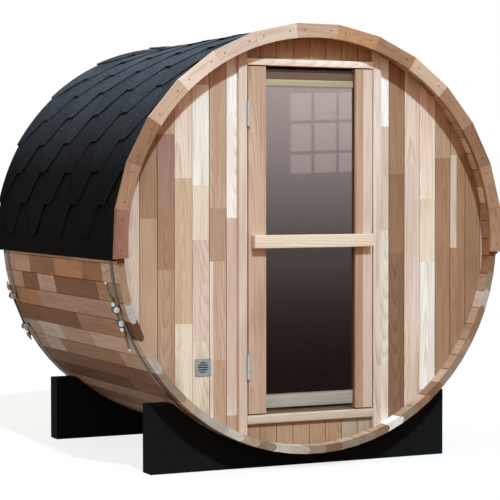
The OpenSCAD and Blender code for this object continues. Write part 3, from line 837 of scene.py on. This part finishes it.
class SAUNA_OT_stage(bpy.types.Operator):
    """Set up the camera, the floor, the lights and the card that the door reflects"""

    bl_idname = "sauna.stage"
    bl_label = "Stage"

    def execute(self, context):
        studio = context.scene.sauna_studio
        context.scene.view_settings.view_transform = "Standard"
        self.camera(context.scene, studio)
        self.key(context.scene, studio)
        self.world(context.scene, studio)
        self.floor(context.scene.sauna_colours, studio)
        self.card(studio)
        return {"FINISHED"}

    def camera(self, scene, studio):
        """The camera before the door and to its left."""
        lens = bpy.data.cameras.new("camera")
        lens.lens = studio.lens
        lens.sensor_width = 36
        lens.shift_x = studio.shift_x
        lens.shift_y = studio.shift_y
        lens.clip_end = 200
        eye = bpy.data.objects.new("camera", lens)
        eye.location = studio.camera_place
        eye.rotation_euler = (math.pi / 2 + studio.camera_pitch, studio.camera_roll, -studio.camera_yaw)
        scene.collection.objects.link(eye)
        scene.camera = eye

    def key(self, scene, studio):
        """The key light on the door end."""
        lamp = bpy.data.lights.new("key", "SUN")
        lamp.energy = studio.key_power
        lamp.angle = studio.key_softness
        lamp.color = studio.key_tint
        key = bpy.data.objects.new("key", lamp)
        key.rotation_euler = (math.pi / 2 - studio.key_height, 0, -studio.key_turn)
        scene.collection.objects.link(key)

    def world(self, scene, studio):
        """White behind the object for the camera, metal and glass, and a plain soft sky for the rest."""
        scene.world = bpy.data.worlds.new("studio")
        scene.world.use_nodes = True
        p = Paint(scene.world.node_tree)
        direct = p.seen()
        right, _, height = p.split(p.node("ShaderNodeTexCoord", output="Generated"))
        soft = height.above(0, 1) * (studio.sky_top - studio.sky_side) + studio.sky_side
        warm = (right * -1).above(0, 1) * height.above(-0.1, 0.55)
        tint = p.mix(direct, p.mix(warm, studio.sky_tint, studio.fill_tint), (1, 1, 1))
        strength = direct + (soft + warm * studio.fill) * (1 - direct)
        light = p.node("ShaderNodeBackground", None, {"Color": tint, "Strength": strength})
        p.node("ShaderNodeOutputWorld", None, {"Surface": light})

    def floor(self, colours, studio):
        """A floor that is white where it is seen, and throws warm light back before the door."""
        mesh = bmesh.new()
        bmesh.ops.create_grid(mesh, x_segments=4, y_segments=4, size=40)
        material, p = painted("studio_floor")
        place = p.place()
        seen = p.seen()
        pale = p.mix(p.noise(place, scale=2, detail=3) * 0.05, colours.floor, colours.dust)
        _, along, _ = p.split(place)
        thrown = p.mix((along * -1).above(0.3, 1.1), studio.shade, studio.bounce)
        matt = p.node("ShaderNodeBsdfDiffuse", None, {"Color": p.mix(seen, thrown, pale)})
        glow = {"Color": (1, 1, 1, 1), "Strength": studio.floor_glow}
        white = p.node("ShaderNodeEmission", None, glow)
        p.end(p.node("ShaderNodeMixShader", None, {0: seen * 0.75, 1: matt, 2: white}))
        show(data_from(mesh, "floor"), "floor", material)

    def card(self, studio):
        """A tall card with pale panes that only reflections show."""
        width, low, high = 1.7, -0.10, 1.85
        middle = Vector((1.05, FRONT_Y - 1.75, (low + high) / 2))
        upright = Matrix.Translation(middle) @ Matrix.Rotation(math.pi / 2, 4, "X")
        size = Matrix.Diagonal((width, high - low, 1, 1))
        mesh = bmesh.new()
        bmesh.ops.create_grid(mesh, x_segments=2, y_segments=2, size=0.5)
        bmesh.ops.transform(mesh, matrix=upright @ size, verts=mesh.verts)
        material, p = painted("reflected_card")
        x, _, z = p.split(p.place())
        glow = z.above(-0.2, 2.1) ** 2.2
        lean = z - x * 0.04
        pane_width, pane_height = 0.1505, 0.165
        across = ((x - 0.798) / pane_width).fraction()
        level = ((lean - 1.337) / pane_height).fraction()
        pane = across.above(0.03, 0.09) * (1 - across.above(0.91, 0.97))
        pane = pane * level.above(0.03, 0.08) * (1 - level.above(0.92, 0.97))
        window = x.above(0.80, 0.83) * lean.above(1.222, 1.232) * (1 - lean.above(1.653, 1.663))
        dimmed = 1 - z.above(1.715, 1.735) * 0.7
        strength = (glow + pane * window * 0.25) * studio.reflection * dimmed
        warm = {0: strength, 1: strength * 0.85, 2: strength * 0.82}
        tint = p.node("ShaderNodeCombineColor", None, warm)
        p.end(p.node("ShaderNodeEmission", None, {"Color": tint}))
        card = show(data_from(mesh, "reflected_card"), "reflected_card", material)
        card.visible_camera = False
        card.visible_diffuse = False
        card.visible_shadow = False
        card.visible_transmission = False


class SAUNA_OT_cradles(bpy.types.Operator):
    """Stain the cradles black and add their screws"""

    bl_idname = "sauna.cradles"
    bl_label = "Cradles"

    def execute(self, context):
        sizes = context.scene.sauna_sizes
        colours = context.scene.sauna_colours
        timber = black_timber(colours)
        metal = brushed_metal("blackened_screw", colours.blackened, 0.5, (300, 300, 300))
        screws = bmesh.new()
        for node, outward in (("cradle_front", -INWARD), ("cradle_rear", INWARD)):
            paint_node(node, timber)
            low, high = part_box(node)
            face = low.y if outward.y < 0 else high.y
            reach = high.x - sizes.cradle_screw_inset
            for side in (-1, 1):
                for height in CRADLE_SCREWS:
                    screw(screws, Vector((side * reach, face, height)), outward, sizes.cradle_screw)
        piece_from(screws, "cradle_screws", metal, "hut", "black_timber")
        return {"FINISHED"}


class SAUNA_OT_staves(bpy.types.Operator):
    """Cut the staves into finger-jointed lengths"""

    bl_idname = "sauna.staves"
    bl_label = "Staves"

    def execute(self, context):
        cedar = planed_cedar()
        sizes = context.scene.sauna_sizes
        for node in STAVE_NODES:
            work = Timberwork(node.replace("staves", "stave_lengths"), context.scene.sauna_colours)
            for stave in shells(node):
                middle = middle_of(stave)
                outward = Vector((middle.x, 0, middle.z - AXIS_Z)).normalized()
                self.ease_joints(stave, outward, sizes.stave_ease)
                number = self.number(sizes, middle)
                work.add(stave, INWARD, outward, self.lengths(number),
                         joint_shade=sizes.stave_joint_shade, end=self.end(number))
            work.piece(cedar, "hut", "stave_wood", node)
        return {"FINISHED"}

    def ease_joints(self, stave, outward, width):
        """Takes the corners off a stave's outer and inner face, so that its joints show as lines."""
        depths = [vert.co.dot(outward) for vert in stave.verts]
        rims = (max(depths) - width / 2, min(depths) + width / 2)
        corners = []
        for edge in stave.edges:
            ends = [vert.co for vert in edge.verts]
            depth = [end.dot(outward) for end in ends]
            runs_along = abs((ends[1] - ends[0]).normalized().dot(INWARD)) > 0.99
            at_rim = min(depth) > rims[0] or max(depth) < rims[1]
            if runs_along and at_rim and edge.calc_face_angle() > SHARP:
                corners.append(edge)
        bmesh.ops.bevel(stave, geom=corners, offset=width, segments=1, affect="EDGES", clamp_overlap=True)

    def number(self, sizes, middle):
        """Number of the stave at a place, counted from the lowest one."""
        step = 2 * math.pi / sizes.stave_count
        return round(math.atan2(middle.x, AXIS_Z - middle.z) / step)

    def lengths(self, number):
        """The lengths of a stave, as laid where they are known, otherwise by chance."""
        if number in LEFT_STAVES:
            return tuple(part if isinstance(part, str) else FRONT_Y + part for part in LEFT_STAVES[number])
        laid = laid_at_random(random.Random(f"stave {number}"), FRONT_Y, BACK_Y)
        after = number - max(LEFT_STAVES) - 1
        if 0 <= after < len(FIRST_LENGTHS):
            return (FIRST_LENGTHS[after], *laid[1:])
        return laid

    def end(self, number):
        """Tone of a stave's front end where it shows below the roof edging."""
        place = number - FIRST_END
        return STAVE_ENDS[place] if 0 <= place < len(STAVE_ENDS) else None


class SAUNA_OT_end_walls(bpy.types.Operator):
    """Lay the boards of both end walls"""

    bl_idname = "sauna.end_walls"
    bl_label = "End Walls"

    def execute(self, context):
        cedar = planed_cedar()
        for node in ("front_wall_left", "front_wall_right", "front_wall_over_door",
                     "front_wall_under_door", "rear_wall"):
            self.wall(context, node, cedar)
        return {"FINISHED"}

    def wall(self, context, node, cedar):
        """Saws one part of a wall into boards and lays their lengths."""
        sizes = context.scene.sauna_sizes
        pitch = sizes.board_pitch
        low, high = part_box(node)
        outward = -INWARD if low.y < 0 else INWARD
        work = Timberwork(node + "_boards", context.scene.sauna_colours)
        whole = solid(node)
        slack = 0.01
        first = math.floor(low.x / pitch + slack)
        last = math.ceil(high.x / pitch - slack)
        for number in range(first, last):
            left, right = number * pitch, (number + 1) * pitch
            board = whole.copy()
            keep_between(board, ACROSS, left, right)
            ease(board, sizes.board_ease)
            if node.startswith("front_wall") and number in EDGE_STRIPS:
                share, laid = EDGE_STRIPS[number]
                tone_edge = (number + share) * pitch
                edge = board.copy()
                keep_between(edge, ACROSS, left, tone_edge)
                keep_between(board, ACROSS, tone_edge, right)
                work.add(edge, UP, outward, above_axis(laid), joint_shade=sizes.joint_shade)
            work.add(board, UP, outward, self.lengths(node, number), joint_shade=sizes.joint_shade)
        whole.free()
        work.piece(cedar, "hut", "board_wood", node)

    def lengths(self, node, number):
        """The lengths of one board, from the bottom up."""
        if node == "front_wall_over_door":
            return ("cinnamon",)
        if node == "front_wall_under_door":
            return (UNDER_DOOR_BOARDS[number - FIRST_UNDER_DOOR],)
        if node == "rear_wall":
            return (random.Random(f"rear board {number}").choice(REAR_TONES),)
        return above_axis(FRONT_BOARDS[number])


def above_axis(laid):
    """Lengths of a board with their joints as heights in the frame."""
    return tuple(part if isinstance(part, str) else AXIS_Z + part for part in laid)


class SAUNA_OT_door_frame(bpy.types.Operator):
    """Dress the posts, the header and the sill of the door frame"""

    bl_idname = "sauna.door_frame"
    bl_label = "Door Frame"

    def execute(self, context):
        cedar = planed_cedar()
        dress(context, "door_post_left", "hut", UP, ("shell",), cedar)
        dress(context, "door_post_right", "hut", UP, ("blush",), cedar)
        dress(context, "door_header", "hut", ACROSS, ("petal",), cedar)
        self.sill(context, cedar)
        return {"FINISHED"}

    def sill(self, context, cedar):
        """The sill, flat in front between two rounded edges, with a low strip behind the door; behind its
        nose it is umber, painted shade of the door.
        """
        sizes = context.scene.sauna_sizes
        low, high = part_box("door_sill")
        work = Timberwork("door_sill_timber", context.scene.sauna_colours)
        plank = block(low, high)
        nose = [edge for edge in plank.edges if max(vert.co.y for vert in edge.verts) < low.y + WELD
                and abs(edge.verts[0].co.x - edge.verts[1].co.x) > WELD]
        bmesh.ops.bevel(plank, geom=nose, offset=sizes.sill_nose, segments=6, profile=0.5, affect="EDGES",
                        clamp_overlap=True)
        # Behind its rounded nose the sill is umber: painted shade that the door casts over its top
        work.add(plank, ACROSS, -INWARD, ("sand", low.y + sizes.sill_nose, "umber"), INWARD)
        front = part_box("door_bottom_rail")[1].y + sizes.sill_gap
        stop = block(Vector((low.x, front, high.z)), Vector((high.x, high.y, high.z + sizes.sill_stop)))
        ease(stop, sizes.frame_ease)
        work.add(stop, ACROSS, -INWARD, ("fawn",))
        work.piece(cedar, "hut", "frame_wood", "door_sill")


def block(low, high):
    """A bmesh box between two corners."""
    mesh = bmesh.new()
    bmesh.ops.create_cube(mesh, size=1)
    place = Matrix.Translation((low + high) / 2) @ Matrix.Diagonal((*(high - low), 1))
    bmesh.ops.transform(mesh, matrix=place, verts=mesh.verts)
    return mesh


def dress(context, node, body, along, lengths, cedar, across_cut=None):
    """Replaces a sawn CAD node by the same piece with eased edges, tone and grain."""
    work = Timberwork(node + "_timber", context.scene.sauna_colours)
    mesh = solid(node)
    ease(mesh, context.scene.sauna_sizes.frame_ease)
    work.add(mesh, along, -INWARD, lengths, across_cut)
    work.piece(cedar, body, "frame_wood", node)


class SAUNA_OT_door(bpy.types.Operator):
    """Dress the door's stiles, rails, handle and glass"""

    bl_idname = "sauna.door"
    bl_label = "Door"

    def execute(self, context):
        cedar = planed_cedar()
        low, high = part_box("door_stile_right")
        tone_edge = low.x + STILE_SEAM * (high.x - low.x)
        dress(context, "door_stile_left", "door", UP, ("apricot",), cedar)
        dress(context, "door_stile_right", "door", UP, ("tan", tone_edge, "rose"), cedar, ACROSS)
        low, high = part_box("door_top_rail")
        tone_edge = low.z + RAIL_SHADOW_EDGE * (high.z - low.z)
        # The top rail's upper part in umber is painted shadow of the header; the straw below is the rail's
        # own tone
        dress(context, "door_top_rail", "door", ACROSS, ("straw", tone_edge, "umber"), cedar, UP)
        dress(context, "door_bottom_rail", "door", ACROSS, ("pearl",), cedar)
        dress(context, "door_handle", "door", ACROSS, ("cream",), cedar)
        paint_node("door_glass", tinted_glass(context.scene.sauna_colours))
        return {"FINISHED"}


class SAUNA_OT_hinges(bpy.types.Operator):
    """Finish the hinges and add their screws"""

    bl_idname = "sauna.hinges"
    bl_label = "Hinges"

    def execute(self, context):
        sizes = context.scene.sauna_sizes
        tint = context.scene.sauna_colours.hinge_white
        steel = brushed_metal("satin_hinge_steel", tint, 0.35, (40, 40, 900))
        for node, body, side in (("hinge_frame_leaves", "hut", 1), ("hinge_door_leaves", "door", -1)):
            paint_node(node, steel)
            screws = bmesh.new()
            for leaf in shells(node):
                low, high = corners_of(leaf)
                face = leaf_face(leaf, high.y, side)
                for share in HINGE_SCREWS:
                    height = low.z + share * (high.z - low.z)
                    spot = Vector((face, high.y - sizes.hinge_screw_inset, height))
                    screw(screws, spot, ACROSS * side, sizes.hinge_screw)
            piece_from(screws, node + "_screws", steel, body, "hinge_steel")
        return {"FINISHED"}


def leaf_face(leaf, edge, side):
    """Where the open face of a hinge leaf lies across the door, read at its far edge."""
    back = [vert.co.x for vert in leaf.verts if vert.co.y > edge - WELD]
    return max(back) if side > 0 else min(back)


class SAUNA_OT_vent(bpy.types.Operator):
    """Finish the vent grille with a rim and corner screws"""

    bl_idname = "sauna.vent"
    bl_label = "Vent"

    def execute(self, context):
        sizes = context.scene.sauna_sizes
        colours = context.scene.sauna_colours
        metal = brushed_metal("vent_metal", colours.vent_alloy, 0.35, (900, 40, 40))
        paint_node("vent_grille", metal)
        low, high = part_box("vent_grille")
        middle = (low + high) / 2
        fittings = bmesh.new()
        front = Vector((middle.x, low.y, middle.z))
        back = Vector((middle.x, high.y, middle.z))
        for side in (-1, 1):
            for rise in (-1, 1):
                corner = front + (ACROSS * side + UP * rise) * sizes.vent_screw_reach
                screw(fittings, corner, -INWARD, sizes.vent_screw)
        self.rim(fittings, sizes, facing(front, -INWARD))
        piece_from(fittings, "vent_fittings", metal, "hut", "vent_metal")
        # The black gauze behind the slots is partly painted shade of the hole in the wall there
        gauze = bmesh.new()
        profile = ((sizes.gauze_radius, 0.0), (sizes.gauze_radius, sizes.gauze_height))
        lathe(gauze, profile, facing(back, -INWARD), sides=48)
        wire = brushed_metal("black_gauze", colours.gauze_and_hole_shade, 0.7, (900, 900, 900))
        piece_from(gauze, "vent_gauze", wire, "hut", "vent_metal")
        return {"FINISHED"}

    def rim(self, mesh, sizes, matrix):
        """A low rounded ring around the slots."""
        inner, outer = sizes.vent_rim, sizes.vent_rim + sizes.vent_rim_width
        proud, sunk, slant, sides = sizes.vent_rim_height, -0.0004, 0.0008, 48
        section = ((inner, sunk), (inner + slant, proud), (outer - slant, proud), (outer, sunk))
        rings = []
        for step in range(sides):
            angle = 2 * math.pi * step / sides
            spots = [Vector((r * math.cos(angle), r * math.sin(angle), h)) for r, h in section]
            rings.append([mesh.verts.new(matrix @ spot) for spot in spots])
        for ring, after in zip(rings, rings[1:] + rings[:1]):
            for i in range(len(section)):
                k = (i + 1) % len(section)
                mesh.faces.new((ring[i], ring[k], after[k], after[i]))


class SAUNA_OT_hoops(bpy.types.Operator):
    """Finish the hoops and build their tensioners"""

    bl_idname = "sauna.hoops"
    bl_label = "Hoops"

    def execute(self, context):
        colours = context.scene.sauna_colours
        sizes = context.scene.sauna_sizes
        band = brushed_metal("hoop_band", colours.hoop_steel, 0.38, (30, 900, 30))
        bright = brushed_metal("bright_steel", colours.steel, 0.25, (200, 200, 200))
        dull = brushed_metal("threaded_steel", colours.dull_steel, 0.4, (200, 200, 200))
        yellow = brushed_metal("yellow_zinc", colours.yellow_zinc, 0.32, (200, 200, 200))
        for end in ("front", "rear"):
            paint_node("hoop_" + end, band)
            self.tensioner("tensioner_" + end, sizes, bright, dull, yellow)
        return {"FINISHED"}

    def tensioner(self, node, sizes, bright, dull, yellow):
        """Two cross pins, a threaded rod, washers, bushes and nuts where the CAD node has them."""
        parts = sorted(shells(node), key=self.reach)
        pins = [middle_of(part) for part in parts[:2]]
        pins.sort(key=lambda pin: -pin.z)
        along = (pins[1] - pins[0]).normalized()
        rod = [vert.co.dot(along) for vert in parts[2].verts]
        start = pins[0] + along * (min(rod) - pins[0].dot(along))
        run = max(rod) - min(rod)
        thread = bmesh.new()
        lathe(thread, self.threads(sizes, run), facing(start, along), sides=14)
        steel = bmesh.new()
        for end, way in ((start, along), (start + along * run, -along)):
            lathe(steel, self.collar(sizes.tip_radius, sizes.tip_length), facing(end, way), sides=16)
        pin_low, pin_high = corners_of(parts[0])
        radius = (pin_high.z - pin_low.z) / 2
        half = (pin_high.y - pin_low.y) / 2
        for pin in pins:
            lathe(steel, self.pin(radius, half), facing(pin, -INWARD), sides=32)
        nuts = bmesh.new()
        for pin, way in ((pins[0], -along), (pins[1], along)):
            spot = pin + way * sizes.loop_reach
            for radius, height in ((sizes.washer_radius, sizes.washer_height),
                                   (sizes.bush_radius, sizes.bush_length)):
                lathe(steel, self.collar(radius, height), facing(spot, way), sides=24)
                spot = spot + way * height
            lathe(nuts, self.nut(sizes), facing(spot, way), sides=6)
        for part in parts:
            part.free()
        piece_from(steel, node + "_steel", bright, "hut", "tensioner_steel", node)
        piece_from(thread, node + "_rod", dull, "hut", "tensioner_steel")
        piece_from(nuts, node + "_nuts", yellow, "hut", "tensioner_steel")

    def reach(self, part):
        """Length of a part's box from corner to corner."""
        low, high = corners_of(part)
        return (high - low).length

    def threads(self, sizes, run):
        """Profile of a rod with rounded threads and chamfered ends."""
        tip = 0.8 * sizes.thread_root
        profile = [(tip, 0.0)]
        for index in range(int(run / sizes.thread_pitch)):
            profile.append((sizes.thread_root, (index + 0.25) * sizes.thread_pitch))
            profile.append((sizes.rod_radius, (index + 0.75) * sizes.thread_pitch))
        profile.append((tip, run))
        return profile

    def pin(self, radius, half):
        """Profile of a cross pin with chamfered ends."""
        lip = 0.12 * radius
        return ((radius - lip, -half), (radius, lip - half), (radius, half - lip), (radius - lip, half))

    def collar(self, radius, height):
        """Profile of a washer, a bush or a collar with chamfered edges."""
        lip = 0.0004
        return ((radius - lip, 0), (radius, lip), (radius, height - lip), (radius - lip, height))

    def nut(self, sizes):
        """Profile of a nut over its corners."""
        corner = sizes.nut_radius / math.cos(math.pi / 6)
        lip = 0.0012
        return ((corner - lip, 0), (corner, lip), (corner, sizes.nut_height - lip),
                (corner - lip, sizes.nut_height))


class SAUNA_OT_roof(bpy.types.Operator):
    """Lay the shingle courses with their tabs and the ridge cap"""

    bl_idname = "sauna.roof"
    bl_label = "Roof"

    def execute(self, context):
        sizes = context.scene.sauna_sizes
        finishes = (mineral_shingle(context.scene.sauna_colours), cut_bitumen(context.scene.sauna_colours))
        for side, node in ((-1, "roof_left"), (1, "roof_right")):
            mesh = self.start()
            self.starter(mesh, sizes, side)
            level = sizes.first_course
            number = 0
            while level > sizes.cap_arc:
                self.course(mesh, sizes, side, level, number)
                level -= sizes.course_arc
                number += 1
            self.laid(mesh, node + "_shingles", finishes, node)
        self.laid(self.cap(sizes), "ridge_cap_shingles", finishes, "roof_cap")
        return {"FINISHED"}

    def start(self):
        """An empty bmesh whose faces know how weathered their shingle is."""
        mesh = bmesh.new()
        mesh.faces.layers.float.new("weather")
        return mesh

    def laid(self, mesh, name, finishes, node):
        """A finished sheet of shingles, its cut edges in bare bitumen."""
        piece = piece_from(mesh, name, finishes[0], "hut", "shingle", node)
        piece.data.materials.append(finishes[1])

    def sheet(self, mesh, columns, rows, spot, weather):
        """A closed curved sheet; spot gives the point of a column, a row and a face (0 under, 1 over)."""
        layer = mesh.faces.layers.float["weather"]
        grid = [[[mesh.verts.new(spot(column, row, face)) for row in range(rows + 1)]
                 for column in range(columns + 1)] for face in (0, 1)]
        under, over = grid
        edges = []
        for i in range(columns):
            for j in range(rows):
                face = mesh.faces.new((over[i][j], over[i + 1][j], over[i + 1][j + 1], over[i][j + 1]))
                face[layer] = weather[i]
                edges.append((under[i][j], under[i][j + 1], under[i + 1][j + 1], under[i + 1][j]))
            edges.append((over[i][0], under[i][0], under[i + 1][0], over[i + 1][0]))
            edges.append((over[i][rows], over[i + 1][rows], under[i + 1][rows], under[i][rows]))
        for j in range(rows):
            edges.append((over[0][j], over[0][j + 1], under[0][j + 1], under[0][j]))
            edges.append((over[columns][j], under[columns][j], under[columns][j + 1], over[columns][j + 1]))
        for corners in edges:
            mesh.faces.new(corners).material_index = 1

    def ride(self, sizes, y):
        """How far the shingles rise to pass over the rear edging."""
        share = 1 + (y - BACK_Y) / sizes.ride_run
        return sizes.ride_rise * min(max(share, 0), 1) ** 2

    def rear_breaks(self, sizes):
        """Places along the barrel where the rise over the rear edging bends."""
        rise = [BACK_Y - sizes.ride_run * share for share in (1, 0.7, 0.45, 0.2, 0)]
        return rise + [BACK_Y + sizes.rear_lap]

    def starter(self, mesh, sizes, side):
        """The plain strip along the eave, under the first course."""
        rows = 4
        ys = [FRONT_Y + 0.2 * step for step in range(7)] + self.rear_breaks(sizes)
        top = sizes.first_course - STARTER_REACH * sizes.course_arc
        outer = sizes.roof_outside - sizes.shingle - sizes.lap_gap

        def spot(column, row, face):
            angle = sizes.eave + (top - sizes.eave) * row / rows
            fall = sizes.shingle * max(0, sizes.first_course - angle) / sizes.course_arc
            radius = outer - fall if face else sizes.roof_inside
            return around(side * angle, radius + self.ride(sizes, ys[column]), ys[column])

        self.sheet(mesh, len(ys) - 1, rows, spot, [0.5] * len(ys))

    def course(self, mesh, sizes, side, level, number):
        """One course: tabs with a short foot and long slants, its upper part under the next two courses."""
        chance = random.Random(f"course {side} {number}")
        shift = 0 if number % 2 == 0 else sizes.tab_pitch / 2
        slant = sizes.tab_pitch / 2 - sizes.tab_foot
        end = BACK_Y + sizes.rear_lap
        breaks = {FRONT_Y, *self.rear_breaks(sizes)}
        tab = FRONT_Y + shift - sizes.tab_pitch
        while tab < end + sizes.tab_pitch:
            for corner in (-slant - sizes.tab_foot / 2, -sizes.tab_foot / 2,
                           sizes.tab_foot / 2, slant + sizes.tab_foot / 2):
                breaks.add(tab + corner)
            tab += sizes.tab_pitch
        ys = sorted(y for y in breaks if FRONT_Y <= y <= end)
        height = min(SHINGLE_REACH, level / sizes.course_arc)
        lift = [sizes.tab_lift * math.sin(level) * chance.uniform(0.1, 1.0) for _ in ys]
        wander = [chance.uniform(-0.03, 0.03) for _ in ys]
        tabs = [math.floor(((y + after) / 2 - FRONT_Y - shift) / sizes.tab_pitch + 0.5)
                for y, after in zip(ys, ys[1:])]
        tone = {index: chance.random() for index in sorted(set(tabs))}
        rows = 7
        lap = sizes.shingle + sizes.lap_gap

        def spot(column, row, face):
            y = ys[column]
            half = sizes.tab_pitch / 2
            beside = abs((y - FRONT_Y - shift + half) % sizes.tab_pitch - half)
            rise = min(max((beside - sizes.tab_foot / 2) / slant, 0), 1)
            rise = min(max(rise + wander[column], 0), height - 0.05)
            climb = rise + (height - rise) * row / rows
            radius = sizes.roof_outside - lap * climb + lift[column] * (1 - row / rows) ** 3
            radius += self.ride(sizes, y) - (1 - face) * sizes.shingle
            return around(side * (level - climb * sizes.course_arc), radius, y)

        self.sheet(mesh, len(ys) - 1, rows, spot, [tone[index] for index in tabs])

    def cap(self, sizes):
        """Cap pieces lapped along the ridge, each end over the piece behind it."""
        mesh = self.start()
        chance = random.Random("ridge cap")
        last = BACK_Y + sizes.rear_lap
        count = round((last - FRONT_Y) / sizes.cap_pitch)
        pitch = (last - FRONT_Y) / count
        low = sizes.roof_outside - sizes.cap_step
        steps = 6
        for number in range(count):
            start = FRONT_Y + number * pitch
            end = min(start + CAP_REACH * pitch, last)

            def spot(column, row, face, start=start, end=end):
                share = column / steps
                y = start + (end - start) * share
                radius = low + sizes.cap_step * (1 - share) + self.ride(sizes, y)
                radius += face * sizes.shingle * 0.9
                return around(sizes.cap_arc * (2 * row / steps - 1), radius, y)

            self.sheet(mesh, steps, steps, spot, [chance.random()] * steps)
        return mesh


class SAUNA_OT_edging(bpy.types.Operator):
    """Cut the roof edging and screw it on"""

    bl_idname = "sauna.edging"
    bl_label = "Roof Edging"

    def execute(self, context):
        cedar = planed_cedar()
        sizes = context.scene.sauna_sizes
        colours = context.scene.sauna_colours
        metal = brushed_metal("dark_screw", colours.browned, 0.4, (300, 300, 300))
        for node, outward in (("edging_front", -INWARD), ("edging_rear", INWARD)):
            work = Timberwork(node + "_pieces", colours)
            screws = bmesh.new()
            low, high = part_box(node)
            face = low.y if outward.y < 0 else high.y
            for part in shells(node):
                spots = [vert.co for vert in part.verts]
                middle = sum(spots, Vector()) / len(spots)
                angle = angle_from_top(middle)
                number = math.floor((angle + sizes.edging_end) / sizes.edging_arc)
                tone = FRONT_EDGING[number if node == "edging_front" else -1 - number]
                ease(part, sizes.edging_ease)
                tangent = Vector((math.cos(angle), 0, -math.sin(angle)))
                for share in EDGING_SCREWS:
                    spot = around(angle + share * sizes.edging_arc, sizes.edging_screw_row, face)
                    screw(screws, spot, outward, sizes.edging_screw)
                work.add(part, tangent, outward, (tone,))
            work.piece(cedar, "hut", "edging_wood", node)
            piece_from(screws, node + "_screws", metal, "hut", "edging_wood")
        return {"FINISHED"}


class SAUNA_PT_panel(bpy.types.Panel):
    """Lists the sauna's steps and settings in the sidebar"""

    bl_label = "Barrel Sauna"
    bl_space_type = "VIEW_3D"
    bl_region_type = "UI"
    bl_category = "Sauna"

    def draw(self, context):
        for step in STEPS:
            self.layout.operator(step.bl_idname)
        for group in (context.scene.sauna_sizes, context.scene.sauna_colours, context.scene.sauna_studio):
            box = self.layout.box()
            for name in group.__annotations__:
                box.prop(group, name)


STEPS = (
    SAUNA_OT_stage, SAUNA_OT_cradles, SAUNA_OT_staves, SAUNA_OT_end_walls, SAUNA_OT_door_frame,
    SAUNA_OT_door, SAUNA_OT_hinges, SAUNA_OT_vent, SAUNA_OT_hoops, SAUNA_OT_roof, SAUNA_OT_edging,
)
GROUPS = (SaunaSizes, SaunaColours, SaunaStudio)


def register():
    for part in (*GROUPS, *STEPS, SAUNA_PT_panel):
        bpy.utils.register_class(part)
    bpy.types.Scene.sauna_sizes = PointerProperty(type=SaunaSizes)
    bpy.types.Scene.sauna_colours = PointerProperty(type=SaunaColours)
    bpy.types.Scene.sauna_studio = PointerProperty(type=SaunaStudio)


def unregister():
    del bpy.types.Scene.sauna_studio
    del bpy.types.Scene.sauna_colours
    del bpy.types.Scene.sauna_sizes
    for part in reversed((*GROUPS, *STEPS, SAUNA_PT_panel)):
        bpy.utils.unregister_class(part)


def main():
    register()
    bpy.ops.sauna.stage()
    bpy.ops.sauna.cradles()
    bpy.ops.sauna.staves()
    bpy.ops.sauna.end_walls()
    bpy.ops.sauna.door_frame()
    bpy.ops.sauna.door()
    bpy.ops.sauna.hinges()
    bpy.ops.sauna.vent()
    bpy.ops.sauna.hoops()
    bpy.ops.sauna.roof()
    bpy.ops.sauna.edging()


if __name__ == "__main__":
    main()
